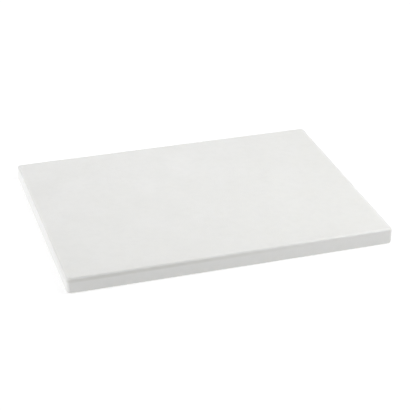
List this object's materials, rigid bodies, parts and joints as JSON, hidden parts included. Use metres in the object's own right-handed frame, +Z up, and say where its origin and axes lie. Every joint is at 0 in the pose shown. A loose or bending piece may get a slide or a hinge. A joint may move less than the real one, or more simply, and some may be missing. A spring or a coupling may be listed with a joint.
{
  "type": "cutting board",
  "caption": "Plain rectangular cutting board: a solid, reversible slab of white polyethylene with rounded corners and softened rims.",
  "frame": {"origin": "centre of the underside, on the surface that the board rests on", "axes": "+X along the long side, +Y along the short side, +Z up through the thickness, out of the cutting surface"},
  "size_m": [0.4, 0.3, 0.02],
  "materials": {
    "white_polyethylene": "satin pressed sheet, undyed and slightly warm white, with fine planing lines on the four edges"
  },
  "bodies": {
    "root": {"board": "white_polyethylene"}
  },
  "joints": []
}
